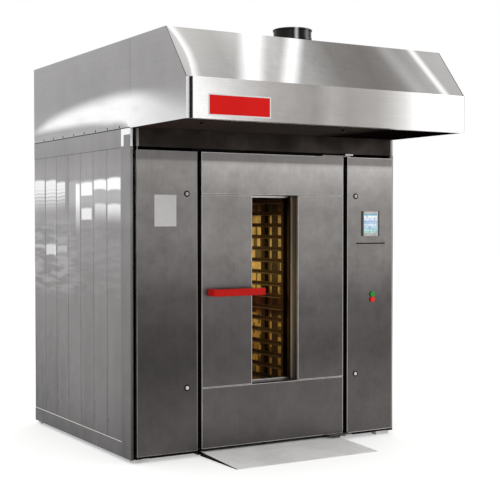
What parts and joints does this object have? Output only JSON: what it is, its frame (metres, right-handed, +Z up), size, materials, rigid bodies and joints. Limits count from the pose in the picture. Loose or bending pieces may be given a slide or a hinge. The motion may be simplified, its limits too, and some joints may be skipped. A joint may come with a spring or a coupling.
{
  "type": "rotating rack oven",
  "caption": "Stainless roll-in rack oven with canopy hood, windowed hinged door, lever latch, side service doors, loading ramp and a motor-turned tray rack.",
  "frame": {"origin": "bottom centre of the bounding box, on the floor", "axes": "+Z up, -Y out of the front (towards the person at the door), +X to the right seen from the front"},
  "size_m": [2.1, 2.554, 2.815],
  "materials": {
    "casing_steel": "satin stainless sheet",
    "front_steel": "brushed stainless sheet, vertical grain",
    "dark_steel": "stainless sheet in deep shade, matt",
    "hood_steel": "bright satin stainless sheet",
    "chamber_steel": "stainless lining, heat tinted",
    "rack_steel": "stainless tube and angle",
    "black_pipe": "black heat-proof paint",
    "heater_sheath": "oxidised sheath",
    "red_paint": "gloss red paint",
    "seal_rubber": "matt silicone",
    "castor_polymer": "heat-proof polymer",
    "window_glass": "clear tempered glass",
    "lamp_glass": "frosted heat-proof glass",
    "screen": "touch panel",
    "green_plastic": "moulded, gloss",
    "red_plastic": "moulded, gloss",
    "machine_paint": "grey machine enamel"
  },
  "bodies": {
    "cabinet": {"left_side_panel": "casing_steel", "right_side_panel": "casing_steel", "rear_panel": "casing_steel", "roof_deck": "casing_steel", "hinge_bracket_top": "casing_steel", "hinge_bracket_bottom": "casing_steel", "ramp": "casing_steel", "foot_front_left": "casing_steel", "foot_front_right": "casing_steel", "foot_rear_left": "casing_steel", "foot_rear_right": "casing_steel", "base_frame": "dark_steel", "lintel_panel": "dark_steel", "door_frame": "dark_steel", "hood_baffle": "dark_steel", "hood_cheek_left": "hood_steel", "hood_cheek_right": "hood_steel", "hood_top_sheet": "hood_steel", "hood_fascia": "hood_steel", "chamber_floor": "chamber_steel", "left_duct_wall": "chamber_steel", "right_duct_wall": "chamber_steel", "chamber_rear_wall": "chamber_steel", "flue_pipe": "black_pipe", "heater_bank": "heater_sheath", "name_plate": "red_paint", "chamber_lamp": "lamp_glass", "gearmotor": "machine_paint", "fan_motor": "machine_paint", "shaft_bearing": "machine_paint", "electrical_panel": "machine_paint"},
    "main_door": {"door_top_pan": "front_steel", "door_bottom_pan": "front_steel", "door_left_pan": "front_steel", "door_right_pan": "front_steel", "door_core": "dark_steel", "window_frame": "casing_steel", "window_glass": "window_glass", "door_gasket": "seal_rubber"},
    "handle": {"door_handle": "red_paint"},
    "latch": {"latch_bolt": "casing_steel"},
    "service_door": {"left_service_door": "front_steel"},
    "control_door_body": {"control_door": "front_steel", "touchscreen": "screen"},
    "lock_left_upper": {"left_lock_upper": "casing_steel"},
    "lock_left_lower": {"left_lock_lower": "casing_steel"},
    "lock_right_upper": {"right_lock_upper": "casing_steel"},
    "lock_right_lower": {"right_lock_lower": "casing_steel"},
    "green_push": {"green_button": "green_plastic"},
    "red_push": {"red_button": "red_plastic"},
    "carousel": {"rack_shaft": "rack_steel", "rack_top_frame": "rack_steel", "rack_base_frame": "rack_steel", "rack_ladder_left": "rack_steel", "rack_ladder_right": "rack_steel"},
    "fan": {"fan_impeller": "casing_steel"},
    "castor_front_left": {"castor_wheel_front_left": "castor_polymer"},
    "castor_front_right": {"castor_wheel_front_right": "castor_polymer"},
    "castor_rear_left": {"castor_wheel_rear_left": "castor_polymer"},
    "castor_rear_right": {"castor_wheel_rear_right": "castor_polymer"}
  },
  "joints": [
    {"name": "door_swing", "type": "hinge", "parent": "cabinet", "child": "main_door", "pos_m": [0.602, -0.527, 1.03], "axis": [0, 0, 1], "range_deg": [0, 115]},
    {"name": "handle_turn", "type": "hinge", "parent": "main_door", "child": "handle", "pos_m": [-0.478, -0.585, 1.085], "axis": [0, 1, 0], "range_deg": [0, 90]},
    {"name": "latch_slide", "type": "slide", "parent": "main_door", "child": "latch", "axis": [-1, 0, 0], "range_m": [0, 0.03]},
    {"name": "service_door_swing", "type": "hinge", "parent": "cabinet", "child": "service_door", "pos_m": [-1.008, -0.493, 1.028], "axis": [0, 0, -1], "range_deg": [0, 110]},
    {"name": "control_door_swing", "type": "hinge", "parent": "cabinet", "child": "control_door_body", "pos_m": [1.008, -0.493, 1.028], "axis": [0, 0, 1], "range_deg": [0, 110]},
    {"name": "left_lock_upper_turn", "type": "hinge", "parent": "service_door", "child": "lock_left_upper", "pos_m": [-0.66, -0.507, 1.733], "axis": [0, 1, 0], "range_deg": [0, 90]},
    {"name": "left_lock_lower_turn", "type": "hinge", "parent": "service_door", "child": "lock_left_lower", "pos_m": [-0.66, -0.507, 0.467], "axis": [0, 1, 0], "range_deg": [0, 90]},
    {"name": "right_lock_upper_turn", "type": "hinge", "parent": "control_door_body", "child": "lock_right_upper", "pos_m": [0.692, -0.507, 1.733], "axis": [0, -1, 0], "range_deg": [0, 90]},
    {"name": "right_lock_lower_turn", "type": "hinge", "parent": "control_door_body", "child": "lock_right_lower", "pos_m": [0.692, -0.507, 0.467], "axis": [0, -1, 0], "range_deg": [0, 90]},
    {"name": "green_button_press", "type": "slide", "parent": "control_door_body", "child": "green_push", "axis": [0, 1, 0], "range_m": [0, 0.004], "stiffness_N_per_m": 600},
    {"name": "red_button_press", "type": "slide", "parent": "control_door_body", "child": "red_push", "axis": [0, 1, 0], "range_m": [0, 0.004], "stiffness_N_per_m": 600},
    {"name": "rack_spin", "type": "hinge", "parent": "cabinet", "child": "carousel", "pos_m": [0.016, 0.2133, 1], "axis": [0, 0, 1], "continuous": true},
    {"name": "fan_spin", "type": "hinge", "parent": "cabinet", "child": "fan", "pos_m": [-0.81335, 0.2133, 1.98], "axis": [0, 0, 1], "continuous": true},
    {"name": "castor_front_left_spin", "type": "hinge", "parent": "carousel", "child": "castor_front_left", "pos_m": [-0.234, -0.1267, 0.082], "axis": [1, 0, 0], "continuous": true},
    {"name": "castor_front_right_spin", "type": "hinge", "parent": "carousel", "child": "castor_front_right", "pos_m": [0.266, -0.1267, 0.082], "axis": [1, 0, 0], "continuous": true},
    {"name": "castor_rear_left_spin", "type": "hinge", "parent": "carousel", "child": "castor_rear_left", "pos_m": [-0.234, 0.5533, 0.082], "axis": [1, 0, 0], "continuous": true},
    {"name": "castor_rear_right_spin", "type": "hinge", "parent": "carousel", "child": "castor_rear_right", "pos_m": [0.266, 0.5533, 0.082], "axis": [1, 0, 0], "continuous": true}
  ],
  "couplings": [
    {"joint": "latch_slide", "follows": "handle_turn", "m_per_rad": 0.01909}
  ]
}
